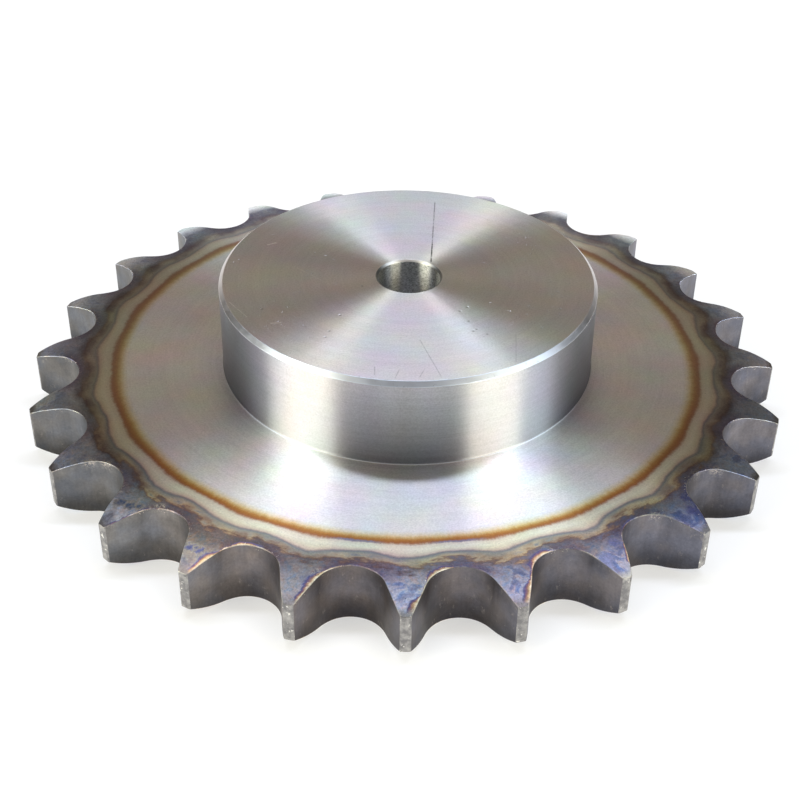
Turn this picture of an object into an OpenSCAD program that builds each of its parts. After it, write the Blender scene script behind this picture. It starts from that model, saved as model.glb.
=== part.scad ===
// Steel sprocket for a single-strand roller chain, turned and hobbed from one piece,
// with a hub on one side and a pilot bore.
// The flat back of the plate lies on Z = 0, the bore runs along Z and one tooth points to -Y.

/* [Chain] */
// Distance from one roller's centre to the next
pitch = 38.1; // [36:0.1:44]
// Diameter of the chain's rollers
roller_d = 25.4; // [20:0.1:27]

/* [Teeth] */
// Number of teeth
teeth = 24; // [16:1:36]
// Thickness of the plate, which is also the width of the teeth
plate_t = 24.1; // [12:0.1:36]
// Height of the tooth tips above the pitch circle
tip_rise = 6.7; // [4:0.1:8]
// Shape of the tooth gap, from the standard's closest form (0) towards its most open form (1)
gap_form = 0.5; // [0:0.05:0.8]
// Depth turned off each side of a tooth at its tip, so that the chain's plates slide on
relief_depth = 4; // [1:0.1:8]
// Radius of the curve that the sides of the teeth are turned to
relief_r = 35; // [20:0.1:80]

/* [Hub] */
// Outer diameter of the hub
hub_d = 151; // [60:0.5:200]
// Height of the hub above the plate
hub_h = 36.6; // [10:0.1:80]
// Width of the 45 degree chamfer round the hub's outer edge
hub_chamfer = 1.6; // [0.2:0.1:5]
// Radius in the corner between the hub and the plate
hub_fillet = 0.8; // [0.2:0.1:5]

/* [Bore] */
// Diameter of the pilot bore
bore_d = 25; // [16:0.1:90]
// Width of the 45 degree chamfer at both ends of the bore
bore_chamfer = 0.7; // [0.2:0.1:3]

/* [Hidden] */
$fn = 180;

// How far a cutting shape runs past the face that it cuts
overcut = 1;

// Pitch polygon, with the rollers' centres at its corners and the tooth tips beyond them
tooth_angle = 360 / teeth;
pitch_r = pitch / 2 / sin(tooth_angle / 2);
tip_r = pitch_r + tip_rise;
first_tooth_angle = -90;

// The standard's limits for the seat that a roller lies in and for the flanks beside it
closest_seat_r = 0.505 * roller_d;
seat_r_growth = 0.069 * pow(roller_d, 1 / 3);
closest_seat_angle = 140 - 90 / teeth;
seat_angle_drop = 20;
closest_flank_r = 0.008 * roller_d * (teeth * teeth + 180);
open_flank_r = 0.12 * roller_d * (teeth + 2);

// The seat and flanks of this tooth gap
seat_r = closest_seat_r + gap_form * seat_r_growth;
seat_angle = closest_seat_angle - gap_form * seat_angle_drop;
flank_r = closest_flank_r + gap_form * (open_flank_r - closest_flank_r);

// A flank's centre lies beyond the end of the seat, so that the two arcs run on smoothly
seat_center = [pitch_r, 0];
seat_end_angle = 180 - seat_angle / 2;
flank_center = seat_center + polar(seat_r + flank_r, seat_end_angle);

// The turned sides start here, level with the plate's faces, and end at the tooth tips
relief_reach = sqrt(relief_r * relief_r - pow(relief_r - relief_depth, 2));
relief_start_r = tip_r - relief_reach;

hub_r = hub_d / 2;
bore_r = bore_d / 2;
total_h = plate_t + hub_h;

function polar(r, angle) = [r * cos(angle), r * sin(angle)];

// A 45 degree corner cut, with its square corner at the origin and its two legs along +X and +Y
module corner_cut(width) {
    polygon([
        [-overcut, -overcut],
        [width + overcut, -overcut],
        [-overcut, width + overcut]
    ]);
}

// Half section of the plate: flat out to the relief, then drawn in by an arc on each side
module plate_section() {
    square([relief_start_r, plate_t]);
    intersection() {
        translate([relief_start_r, 0])
            square([relief_reach, plate_t]);
        translate([relief_start_r, relief_r])
            circle(relief_r);
        translate([relief_start_r, plate_t - relief_r])
            circle(relief_r);
    }
}

// Half section of the hub, with its chamfered rim and the fillet at its foot
module hub_section() {
    difference() {
        square([hub_r, total_h]);
        translate([hub_r, total_h])
            rotate(180)
                corner_cut(hub_chamfer);
    }
    translate([hub_r, plate_t])
        difference() {
            square(hub_fillet);
            translate([hub_fillet, hub_fillet])
                circle(hub_fillet);
        }
}

// Half section of the bore and of the chamfer at each end
module bore_section() {
    translate([0, -overcut])
        square([bore_r, total_h + 2 * overcut]);
    translate([bore_r, 0])
        corner_cut(bore_chamfer);
    translate([bore_r, total_h])
        mirror([0, 1])
            corner_cut(bore_chamfer);
}

// The blank as it leaves the lathe, before the teeth are cut
module turned_blank() {
    rotate_extrude()
        difference() {
            union() {
                plate_section();
                hub_section();
            }
            bore_section();
        }
}

// Outline of one tooth gap on the X axis: the roller's seat, opening between two rounded flanks
module gap_outline() {
    gap_reach = tip_r + overcut;
    translate(seat_center)
        circle(seat_r);
    difference() {
        polygon([
            seat_center,
            flank_center,
            [gap_reach, flank_center.y],
            [gap_reach, -flank_center.y],
            [flank_center.x, -flank_center.y]
        ]);
        for (side = [-1, 1])
            translate([flank_center.x, side * flank_center.y])
                circle(flank_r);
    }
}

// Every gap, half a tooth on from the teeth
module tooth_gaps() {
    for (i = [0 : teeth - 1])
        rotate(first_tooth_angle + (i + 0.5) * tooth_angle)
            translate([0, 0, -overcut])
                linear_extrude(plate_t + 2 * overcut)
                    gap_outline();
}

module sprocket() {
    color([0.56, 0.56, 0.58])
        difference() {
            turned_blank();
            tooth_gaps();
        }
}

sprocket();
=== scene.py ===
import math

import bpy
import numpy as np
from mathutils import Matrix, Vector


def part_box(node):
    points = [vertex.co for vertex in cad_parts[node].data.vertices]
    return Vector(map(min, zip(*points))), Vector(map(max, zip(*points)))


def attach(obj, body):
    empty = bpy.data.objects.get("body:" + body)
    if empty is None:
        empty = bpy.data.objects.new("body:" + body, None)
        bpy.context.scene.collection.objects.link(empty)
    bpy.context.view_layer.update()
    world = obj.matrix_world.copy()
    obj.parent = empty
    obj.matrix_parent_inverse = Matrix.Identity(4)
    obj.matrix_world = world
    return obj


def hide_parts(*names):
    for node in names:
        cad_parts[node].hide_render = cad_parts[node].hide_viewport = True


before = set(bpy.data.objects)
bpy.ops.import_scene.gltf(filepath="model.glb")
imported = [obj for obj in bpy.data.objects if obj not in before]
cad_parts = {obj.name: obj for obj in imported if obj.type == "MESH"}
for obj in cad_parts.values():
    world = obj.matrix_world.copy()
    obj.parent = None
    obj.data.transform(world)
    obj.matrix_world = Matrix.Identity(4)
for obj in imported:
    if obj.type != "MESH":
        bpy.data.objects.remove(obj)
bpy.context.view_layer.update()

# Sizes of the sprocket in millimetres: its outside from the CAD frame, the rest as in the part's source
MM = 0.001
high_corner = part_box("sprocket")[1]
TIP_R = high_corner.x / MM
TOTAL_H = high_corner.z / MM
TEETH = 24
PITCH = 38.1
ROLLER_D = 25.4
GAP_FORM = 0.5
PLATE_T = 24.1
RELIEF_DEPTH = 4.0
RELIEF_R = 35.0
HUB_R = 75.5
HUB_CHAMFER = 1.6
HUB_FILLET = 0.8
BORE_R = 12.5
BORE_CHAMFER = 0.7

PITCH_R = PITCH / 2 / math.sin(math.pi / TEETH)
TOOTH_ANGLE = 2 * math.pi / TEETH
FIRST_TOOTH_ANGLE = -math.pi / 2
RELIEF_START_R = TIP_R - math.sqrt(RELIEF_R ** 2 - (RELIEF_R - RELIEF_DEPTH) ** 2)

# The tooth gap's two arcs, by the standard's formulas: the seat of a roller, and the flanks beside it
SEAT_R = 0.505 * ROLLER_D + GAP_FORM * 0.069 * ROLLER_D ** (1 / 3)
SEAT_HALF_ANGLE = math.radians(140 - 90 / TEETH - 20 * GAP_FORM) / 2
CLOSEST_FLANK_R = 0.008 * ROLLER_D * (TEETH ** 2 + 180)
OPEN_FLANK_R = 0.12 * ROLLER_D * (TEETH + 2)
FLANK_R = CLOSEST_FLANK_R + GAP_FORM * (OPEN_FLANK_R - CLOSEST_FLANK_R)

# Corners too small for the solids, in millimetres: the turned edges and the teeth's edges are broken, and a
# tooth's flanks meet its tip in a corner that bulges by a share of its width
SOFT_EDGE = 0.14
TOOTH_EDGE = 0.22
LAND_CORNER = 0.45
CORNER_BULGE = 0.12


def way_to(azimuth, elevation=0.0):
    """Unit vector away from the sprocket, in degrees, with the azimuth from its near side to the right."""
    turn, rise = math.radians(azimuth), math.radians(elevation)
    return Vector((math.cos(rise) * math.sin(turn), -math.cos(rise) * math.cos(turn), math.sin(rise)))


def add_object(name, data):
    thing = bpy.data.objects.new(name, data)
    bpy.context.scene.collection.objects.link(thing)
    return thing


# Camera, as fitted to the photograph: metres, degrees and pixels
CAMERA_DISTANCE = 0.6095
CAMERA_TARGET_Z = 0.01716
CAMERA_ELEVATION = 34.067
CAMERA_AZIMUTH = -0.371
CAMERA_PAN = -1.51
CAMERA_TILT = -1.565
CAMERA_ROLL = -1.054
CAMERA_FOCAL_PX = 1461.4
CAMERA_CLIP_START = 0.01
IMAGE_PX = 800
SENSOR_MM = 36
SHIFT_RIGHT_PX = 45.2
SHIFT_DOWN_PX = 6.8


def add_camera():
    offset = way_to(CAMERA_AZIMUTH, CAMERA_ELEVATION) * CAMERA_DISTANCE
    forward = -offset.normalized()
    right = forward.cross(Vector((0, 0, 1))).normalized()
    up = right.cross(forward)
    for axis, turn in ((up, CAMERA_PAN), (right, CAMERA_TILT), (forward, CAMERA_ROLL)):
        spin = Matrix.Rotation(math.radians(turn), 3, axis.copy())
        forward.rotate(spin)
        right.rotate(spin)
        up.rotate(spin)
    pose = Matrix((right, up, -forward)).transposed().to_4x4()
    pose.translation = offset + Vector((0, 0, CAMERA_TARGET_Z))
    data = bpy.data.cameras.new("photo_camera")
    data.sensor_width = SENSOR_MM
    data.lens = CAMERA_FOCAL_PX / IMAGE_PX * SENSOR_MM
    data.shift_x = -SHIFT_RIGHT_PX / IMAGE_PX
    data.shift_y = SHIFT_DOWN_PX / IMAGE_PX
    data.clip_start = CAMERA_CLIP_START
    camera = add_object("photo_camera", data)
    camera.matrix_world = pose
    bpy.context.scene.camera = camera


# The sprocket's mesh

# Kinds of surface, each with one material, in the order of steel_materials
PLATE, WALL, LAND, HUB_FACE, HUB_SIDE, CUT, BORE = range(7)

# Steps along half a tooth gap's seat, flank and tip, out across the face, down the wall and round the hub's
# fillet, where one step is a bright line
SEAT_STEPS = 12
FLANK_STEPS = 14
LAND_STEPS = 2
FACE_STEPS = 9
WALL_STEPS = 5
FILLET_STEPS = 8
FILLET_LINE = 4

# Facets of a broken edge or corner, and the sine of 45 degrees
EDGE_FACETS = 2
DIAGONAL = math.sqrt(0.5)

# Radii of the rings across the plate's face; from the last one the mesh fans out to the teeth
PLATE_RINGS = (90.0, 110.0, 126.0)
FAN_R = PLATE_RINGS[-1]


def relief_height(radius):
    """Height of the plate's upper face at a radius: flat, then turned down by an arc towards the tips."""
    run = np.maximum(radius - RELIEF_START_R, 0)
    return PLATE_T - RELIEF_R + np.sqrt(RELIEF_R ** 2 - run ** 2)


def relief_slope(radius):
    """Sine of the upper face's tilt at a radius."""
    return np.maximum(radius - RELIEF_START_R, 0) / RELIEF_R


def direction(angle):
    return np.array([math.cos(angle), math.sin(angle)])


def half_gap():
    """Points and wall normals from a gap's centre on +X to the middle of the next tooth."""
    seat_end = direction(math.pi - SEAT_HALF_ANGLE)
    seat_center = np.array([PITCH_R, 0.0])
    flank_center = seat_center + seat_end * (SEAT_R + FLANK_R)
    points, normals = [], []
    for turn in np.linspace(0, SEAT_HALF_ANGLE, SEAT_STEPS + 1):
        way = direction(math.pi - turn)
        points.append(seat_center + way * SEAT_R)
        normals.append(-way)
    # The flank runs from the seat's end to where the corner at the tip begins
    start = math.atan2(-seat_end[1], -seat_end[0])
    reach = np.hypot(*flank_center)
    corner_r = TIP_R - LAND_CORNER
    meet = (corner_r ** 2 - reach ** 2 - FLANK_R ** 2) / (2 * reach * FLANK_R)
    end = math.atan2(flank_center[1], flank_center[0]) - math.acos(meet)
    for turn in np.linspace(start, end, FLANK_STEPS + 1)[1:]:
        way = direction(turn)
        points.append(flank_center + way * FLANK_R)
        normals.append(way)
    flank_end, flank_normal = points[-1], normals[-1]
    corner_angle = math.atan2(flank_end[1], flank_end[0]) + LAND_CORNER / TIP_R
    land_normal = direction(corner_angle)
    corner_normal = flank_normal + land_normal
    corner_normal /= np.linalg.norm(corner_normal)
    chord_middle = (flank_end + land_normal * TIP_R) / 2
    points.append(chord_middle + corner_normal * LAND_CORNER * CORNER_BULGE)
    normals.append(corner_normal)
    for angle in np.linspace(corner_angle, TOOTH_ANGLE / 2, LAND_STEPS + 1):
        points.append(direction(angle) * TIP_R)
        normals.append(direction(angle))
    return np.array(points), np.array(normals)


def tooth_outline():
    """The whole outline, counterclockwise from one tooth's middle, with the walls' outward normals."""
    points, normals = half_gap()
    flip = np.array([1, -1])
    gap = np.concatenate([points[::-1] * flip, points[1:]])[:-1]
    gap_normals = np.concatenate([normals[::-1] * flip, normals[1:]])[:-1]
    out, out_normals = [], []
    for tooth in range(TEETH):
        angle = FIRST_TOOTH_ANGLE + (tooth + 0.5) * TOOTH_ANGLE
        spin = np.array([[math.cos(angle), math.sin(angle)], [-math.sin(angle), math.cos(angle)]])
        out.append(gap @ spin)
        out_normals.append(gap_normals @ spin)
    return np.concatenate(out), np.concatenate(out_normals)


class Rings:
    """Rings of points round the axis, their normals and the kind of surface that follows each."""

    def __init__(self, outline):
        angles = np.arctan2(outline[:, 1], outline[:, 0])
        self.across = np.stack([np.cos(angles), np.sin(angles)], 1)
        self.points, self.normals, self.surfaces = [], [], []

    def add(self, points, normals, surface):
        self.points.append(points)
        self.normals.append(normals)
        self.surfaces.append(surface)

    def turn(self, radius, height, out_part, up_part, surface):
        """A round ring, whose normals have these parts outwards and upwards."""
        flat = np.ones(len(self.across))
        points = np.column_stack([self.across * radius, flat * height])
        self.add(points, np.column_stack([self.across * out_part, flat * up_part]), surface)


def fillet_profile():
    """The fillet at the hub's foot, with a thin bright line half way round it."""
    surfaces = [HUB_SIDE] * FILLET_LINE + [CUT] + [PLATE] * (FILLET_STEPS - FILLET_LINE)
    profile = []
    for step, surface in enumerate(surfaces):
        turn = math.pi / 2 * step / FILLET_STEPS
        out_part, up_part = math.cos(turn), math.sin(turn)
        radius = HUB_R + HUB_FILLET * (1 - out_part)
        height = PLATE_T + HUB_FILLET * (1 - up_part)
        profile.append((radius, height, out_part, up_part, surface))
    return profile


def upper_profile():
    """Half section up the bore, over the hub and out across the plate's face."""
    soft = SOFT_EDGE
    hub_inner = HUB_R - HUB_CHAMFER
    side_top = TOTAL_H - HUB_CHAMFER
    bore_outer = BORE_R + BORE_CHAMFER
    bore_top = TOTAL_H - BORE_CHAMFER
    return [
        (BORE_R, BORE_CHAMFER + soft, -1, 0, BORE),
        (BORE_R, bore_top - soft, -1, 0, CUT),
        (BORE_R + soft / 2, bore_top + soft / 2, -DIAGONAL, DIAGONAL, CUT),
        (bore_outer - soft / 2, TOTAL_H - soft / 2, -DIAGONAL, DIAGONAL, CUT),
        (bore_outer + soft, TOTAL_H, 0, 1, HUB_FACE),
        (HUB_R / 2, TOTAL_H, 0, 1, HUB_FACE),
        (hub_inner - soft, TOTAL_H, 0, 1, CUT),
        (hub_inner + soft / 2, TOTAL_H - soft / 2, DIAGONAL, DIAGONAL, CUT),
        (HUB_R - soft / 2, side_top + soft / 2, DIAGONAL, DIAGONAL, CUT),
        (HUB_R, side_top - soft, 1, 0, HUB_SIDE),
        (HUB_R, (side_top + PLATE_T) / 2, 1, 0, HUB_SIDE),
        *fillet_profile(),
        *((radius, PLATE_T, 0, 1, PLATE) for radius in PLATE_RINGS),
    ]


def lower_profile():
    """Half section of the flat back, in to the bore."""
    soft = SOFT_EDGE
    bore_outer = BORE_R + BORE_CHAMFER
    return [
        (FAN_R, 0, 0, -1, PLATE),
        (HUB_R, 0, 0, -1, PLATE),
        (bore_outer + soft, 0, 0, -1, CUT),
        (bore_outer - soft / 2, soft / 2, -DIAGONAL, -DIAGONAL, CUT),
        (BORE_R + soft / 2, BORE_CHAMFER - soft / 2, -DIAGONAL, -DIAGONAL, CUT),
    ]


def tooth_face(outline, wall, across):
    """Points and normals of the rings that fan out over the teeth, and of their broken edge."""
    inset = outline - wall * TOOTH_EDGE
    fan = across * FAN_R
    face = []
    for share in np.linspace(0, 1, FACE_STEPS + 1)[1:]:
        flat = fan + (inset - fan) * share
        radius = np.hypot(flat[:, 0], flat[:, 1])
        tilt = relief_slope(radius)
        outwards = flat / radius[:, None] * tilt[:, None]
        points = np.column_stack([flat, relief_height(radius)])
        face.append((points, np.column_stack([outwards, np.sqrt(1 - tilt ** 2)])))
    bevel = TOOTH_EDGE * (1 - DIAGONAL)
    rim_height = relief_height(np.hypot(outline[:, 0], outline[:, 1]))
    between = face[-1][1] + np.column_stack([wall, np.zeros(len(wall))])
    between /= np.linalg.norm(between, axis=1)[:, None]
    face.append((np.column_stack([outline - wall * bevel, rim_height - bevel]), between))
    return face


def build_sprocket():
    """All rings, up the bore, over the top, down the teeth's walls and back in below."""
    outline, wall = tooth_outline()
    rings = Rings(outline)
    for entry in upper_profile():
        rings.turn(*entry)
    face = tooth_face(outline, wall, rings.across)
    for points, normals in face:
        rings.add(points, normals, PLATE)
    flat_wall = np.column_stack([wall, np.zeros(len(wall))])
    wall_top = relief_height(np.hypot(outline[:, 0], outline[:, 1])) - TOOTH_EDGE
    for share in np.linspace(0, 1, WALL_STEPS + 1):
        height = wall_top + (PLATE_T - 2 * wall_top) * share
        rings.add(np.column_stack([outline, height]), flat_wall, WALL if share < 1 else PLATE)
    mirrored = np.array([1, 1, -1])
    for points, normals in reversed(face):
        rings.add(points * mirrored + np.array([0, 0, PLATE_T]), normals * mirrored, PLATE)
    for entry in lower_profile():
        rings.turn(*entry)
    return rings


def add_mesh(name, rings):
    """One closed mesh: each ring is joined to the next, and the last one to the first."""
    count, columns = len(rings.points), len(rings.across)
    # The tips' own material covers their walls and the broken edges round them
    walls = [i for i, surface in enumerate(rings.surfaces) if surface == WALL]
    tip_rings = range(min(walls) - EDGE_FACETS, max(walls) + EDGE_FACETS + 1)
    tip_reach = LAND_STEPS + EDGE_FACETS
    tooth_columns = columns // TEETH
    faces, slots = [], []
    for i in range(count):
        ring, following = i * columns, (i + 1) % count * columns
        for j in range(columns):
            beside = (j + 1) % columns
            faces.append((ring + j, following + j, following + beside, ring + beside))
            place = j % tooth_columns
            on_tip = place < tip_reach or place >= tooth_columns - tip_reach
            slots.append(LAND if on_tip and i in tip_rings else rings.surfaces[i])
    mesh = bpy.data.meshes.new(name)
    mesh.from_pydata([tuple(point) for point in np.concatenate(rings.points) * MM], [], faces)
    mesh.polygons.foreach_set("material_index", slots)
    mesh.polygons.foreach_set("use_smooth", [True] * len(faces))
    mesh.update()
    mesh.normals_split_custom_set_from_vertices([tuple(way) for way in np.concatenate(rings.normals)])
    return add_object(name, mesh)


# Shader nodes

NOISE_MIDDLE = 0.5
QUARTER_TURN = 0.25


class Nodes:
    """Short ways to add and join shader nodes in one material or world."""

    def __init__(self, owner):
        owner.use_nodes = True
        self.owner = owner
        self.tree = owner.node_tree
        self.tree.nodes.clear()

    def add(self, kind, inputs=(), **settings):
        """A node with these settings, and with these inputs in order or by name."""
        node = self.tree.nodes.new(kind)
        for name, value in settings.items():
            setattr(node, name, value)
        pairs = inputs.items() if isinstance(inputs, dict) else enumerate(inputs)
        for key, value in pairs:
            self.put(node.inputs[key], value)
        return node

    def put(self, socket, value):
        if isinstance(value, bpy.types.NodeSocket):
            self.tree.links.new(value, socket)
        else:
            socket.default_value = value

    def finish(self, surface, kind="ShaderNodeOutputMaterial"):
        self.add(kind, {"Surface": surface})
        return self.owner

    def math(self, operation, a, b=0.0, c=0.0, clamp=False):
        return self.add("ShaderNodeMath", (a, b, c), operation=operation, use_clamp=clamp).outputs[0]

    def plus(self, a, b):
        return self.math("ADD", a, b)

    def minus(self, a, b):
        return self.math("SUBTRACT", a, b)

    def times(self, a, b, clamp=False):
        return self.math("MULTIPLY", a, b, clamp=clamp)

    def most(self, a, b):
        return self.math("MAXIMUM", a, b)

    def size(self, a):
        return self.math("ABSOLUTE", a)

    def hypotenuse(self, a, b):
        return self.math("SQRT", self.plus(self.times(a, a), self.times(b, b)))

    def blend(self, share, a, b):
        return self.plus(a, self.times(share, self.minus(b, a)))

    def remap(self, value, low, high, to_low=0.0, to_high=1.0, smooth=False):
        """While the value goes from low to high, the result goes from to_low to to_high and stays there."""
        kind = "SMOOTHSTEP" if smooth else "LINEAR"
        inputs = (value, low, high, to_low, to_high)
        return self.add("ShaderNodeMapRange", inputs, interpolation_type=kind).outputs[0]

    def vector(self, operation, a, b=(0, 0, 0)):
        node = self.add("ShaderNodeVectorMath", (a, b), operation=operation)
        gives_number = operation in ("LENGTH", "DOT_PRODUCT", "DISTANCE")
        return node.outputs["Value" if gives_number else "Vector"]

    def scale(self, a, factor):
        return self.add("ShaderNodeVectorMath", {0: a, "Scale": factor}, operation="SCALE").outputs[0]

    def join(self, x, y, z):
        return self.add("ShaderNodeCombineXYZ", (x, y, z)).outputs[0]

    def noise(self, place, scale, detail=2.0, roughness=0.5, dimensions="3D"):
        where = "W" if dimensions == "1D" else "Vector"
        inputs = {where: place, "Scale": scale, "Detail": detail, "Roughness": roughness}
        return self.add("ShaderNodeTexNoise", inputs, noise_dimensions=dimensions).outputs["Fac"]

    def noise_color(self, place, scale, detail):
        return self.noise(place, scale, detail).node.outputs["Color"]

    def pattern(self, place, noise, span):
        """Noise at a place, spread over a span for remap."""
        return self.remap(self.noise(place, *noise), *span)

    def centred(self, noise, reach):
        """Noise turned into an offset of up to about this reach either way."""
        return self.times(self.minus(noise, NOISE_MIDDLE), 2 * reach)

    def swing(self, place, reach, *noise):
        return self.centred(self.noise(place, *noise), reach)

    def shake(self, place, reach, *noise):
        """An offset by noise in any direction, of up to about half this reach."""
        away = self.vector("SUBTRACT", self.noise_color(place, *noise), (NOISE_MIDDLE,) * 3)
        return self.scale(away, reach)

    def ramp(self, value, stops):
        """A colour ramp; each stop is a place from 0 to 1 and a colour."""
        node = self.add("ShaderNodeValToRGB", (value,))
        elements = node.color_ramp.elements
        while len(elements) < len(stops):
            elements.new(0.5)
        for element, (place, color) in zip(elements, stops):
            element.position = place
            element.color = (*color, 1.0)
        return node.outputs[0]

    def mix(self, share, a, b, blend="MIX"):
        node = self.add("ShaderNodeMix", {"Factor": share}, data_type="RGBA", blend_type=blend)
        for name, value in (("A", a), ("B", b)):
            socket = next(s for s in node.inputs if s.name == name and s.type == "RGBA")
            self.put(socket, (*value, 1.0) if isinstance(value, tuple) else value)
        return next(s for s in node.outputs if s.type == "RGBA")

    def tinted(self, color, tint, share=1.0):
        return self.mix(share, color, tint, "MULTIPLY")

    def bump(self, height, distance, normal=None):
        node = self.add("ShaderNodeBump", {"Distance": distance, "Height": height})
        if normal is not None:
            self.put(node.inputs["Normal"], normal)
        return node.outputs[0]

    def metal(self, color, roughness, normal, spread=0.0):
        """End a material as metal; a spread draws its highlights out across the turning marks."""
        inputs = {"Base Color": color, "Metallic": 1.0, "Roughness": roughness, "Normal": normal}
        if spread:
            tangent = self.add("ShaderNodeTangent", direction_type="RADIAL", axis="Z").outputs[0]
            inputs.update({"Anisotropic": spread, "Anisotropic Rotation": QUARTER_TURN, "Tangent": tangent})
        return self.finish(self.add("ShaderNodeBsdfPrincipled", inputs).outputs[0])


class Places:
    """Where a shaded point lies on the sprocket, in millimetres and radians."""

    def __init__(self, n):
        self.n = n
        self.mm = n.scale(n.add("ShaderNodeTexCoord").outputs["Object"], 1 / MM)
        self.x, self.y, self.z = n.add("ShaderNodeSeparateXYZ", (self.mm,)).outputs
        self.flat = n.join(self.x, self.y, 0.0)
        self.radius = n.hypotenuse(self.x, self.y)
        self.along = n.plus(self.radius, self.z)
        self.angle = n.math("ARCTAN2", self.y, self.x)
        # The angle from the near tooth, and its cosine: 1 on the near side, 0 at the sides, -1 behind
        towards_near = n.times(self.y, -1.0)
        self.from_near = n.math("ARCTAN2", self.x, towards_near)
        self.near = n.math("DIVIDE", towards_near, self.radius)

    def stretched(self, x, y, z):
        return self.n.vector("MULTIPLY", self.mm, (x, y, z))

    def round_wheel(self, stops):
        """A colour ramp round the wheel; each stop is at its degrees from the near tooth."""
        turn = self.n.remap(self.from_near, -math.pi, math.pi)
        return self.n.ramp(turn, [((angle + 180) / 360, color) for angle, color in stops])

    def streaks(self, turns, steps, detail, roughness):
        """Noise drawn out along the turning marks: this much round the ring, and steps per millimetre."""
        n = self.n
        x = n.times(n.math("COSINE", self.angle), turns)
        y = n.times(n.math("SINE", self.angle), turns)
        return n.noise(n.join(x, y, n.times(self.along, steps)), 1.0, detail, roughness)


def on_ring(angle, radius):
    """The point at these degrees from the near tooth, positive to the right, and at this radius."""
    return tuple(way_to(angle) * radius)


def greys(stops):
    return [(place, (level,) * 3) for place, level in stops]


def gap_distance(n, at):
    """Distance from the wall of the nearest tooth gap, and which side of the gap's middle the point is."""
    middle = FIRST_TOOTH_ANGLE + TOOTH_ANGLE / 2
    turn = n.math("WRAP", n.minus(at.angle, middle), TOOTH_ANGLE / 2, -TOOTH_ANGLE / 2)
    out = n.minus(n.times(at.radius, n.math("COSINE", turn)), PITCH_R)
    side = n.times(at.radius, n.math("SINE", turn))
    beside = n.size(side)
    end_out, end_side = -math.cos(SEAT_HALF_ANGLE), math.sin(SEAT_HALF_ANGLE)
    from_seat = n.minus(n.hypotenuse(out, side), SEAT_R)
    to_flank = n.hypotenuse(
        n.minus(out, end_out * (SEAT_R + FLANK_R)),
        n.minus(beside, end_side * (SEAT_R + FLANK_R)),
    )
    from_flank = n.minus(FLANK_R, to_flank)
    across = n.minus(n.times(beside, end_out), n.times(out, end_side))
    return n.blend(n.math("GREATER_THAN", across, 0.0), from_flank, from_seat), side


# How the steel's tables are written. A span is what remap takes after its value, with two numbers where the
# result goes from 0 to 1. A noise has its scale in cycles per millimetre, its detail and, where it isn't 0.5,
# its roughness. A swing or a shake has its reach in millimetres before them. A pattern is a noise and a span.
STEEL = (0.78, 0.77, 0.77)

# Heat tint left by hardening the teeth: radius in millimetres, and what the oxide lets through
HEAT_TINT = [
    (113.8, (1.00, 1.00, 1.00)),
    (115.2, (0.95, 0.90, 0.77)),
    (116.2, (0.89, 0.76, 0.50)),
    (117.2, (0.76, 0.54, 0.24)),
    (118.2, (0.59, 0.30, 0.09)),
    (119.2, (0.46, 0.19, 0.06)),
    (119.9, (0.44, 0.20, 0.10)),
    (120.5, (0.62, 0.45, 0.33)),
    (121.2, (0.85, 0.79, 0.64)),
    (123.0, (0.90, 0.88, 0.72)),
    (124.4, (0.84, 0.79, 0.62)),
    (125.5, (0.74, 0.62, 0.50)),
    (126.1, (0.40, 0.34, 0.33)),
    (126.6, (0.25, 0.27, 0.29)),
    (127.3, (0.37, 0.37, 0.33)),
    (128.4, (0.45, 0.41, 0.32)),
    (129.6, (0.42, 0.35, 0.25)),
    (130.6, (0.29, 0.21, 0.16)),
    (131.8, (0.19, 0.15, 0.16)),
    (133.6, (0.18, 0.17, 0.22)),
]

# The tint's rings stray from circles: they wave once for each tooth, drift, have fine hairs along their
# edges, and end in ragged patches, by reaches that change with the radius or towards the near side
WAVE_REACH = (119.0, 130.0, 0.15, 1.8)
SLOW_DRIFT = (1.5, 0.03, 2.0)
QUICK_DRIFT = (1.0, 0.14, 4.0)
DRIFT_REACH = (118.0, 131.0, 0.25, 1.5)
EDGE_HAIRS = (1.4, 0.4, 6.0, 0.85)
HAIR_STRETCH = 0.4
HAIR_REACH = (120.5, 122.5, 1.0, 0.25)
DRAWN_STREAKS = (16.0, 0.34, 4.0, 0.6)
DRAWN_REACH = 8.0
DRAWN_NEAR = (0.35, 0.8, 0.25, 1.0)
RAGGED_PATCHES = (3.0, 0.3, 4.0, 0.6)
RAGGED_NEAR = (0.4, 0.8, 0.2, 1.0)
RAGGED_ZONE = (127.0, 130.0)

# A blue line on the gold ring's outer edge, and the turns in radians where it sets in and fades
BLUE_LINE = (0.26, 0.27, 0.42)
BLUE_LINE_R = 120.2
BLUE_LINE_FADE = (0.9, 0.2, 0.0, 0.8)
BLUE_LINE_TURNS = [(0.06, 0.10), (0.18, 0.24, 1.0, 0.0)]

# Away from the near side the tint is duller, and its outer rings are bluer
DULL_TINT = (0.40, 0.36, 0.30)
DULL_NEAR = (0.75, 0.1, 0.0, 0.42)
DULL_ZONE = (115.0, 117.5)
SIDE_OXIDE = (0.74, 0.80, 0.92)
SIDE_NEAR = (0.70, 0.30)
SIDE_ZONE = (127.0, 129.0)

# Past the pale ring the tint is uneven
UNEVEN_NOISE = (0.09, 3.0)
UNEVEN_TINT = [(0.40, (0.74, 0.66, 0.70)), (0.60, (1.30, 1.26, 1.12))]
UNEVEN_ZONE = (127.0, 128.5)


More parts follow.
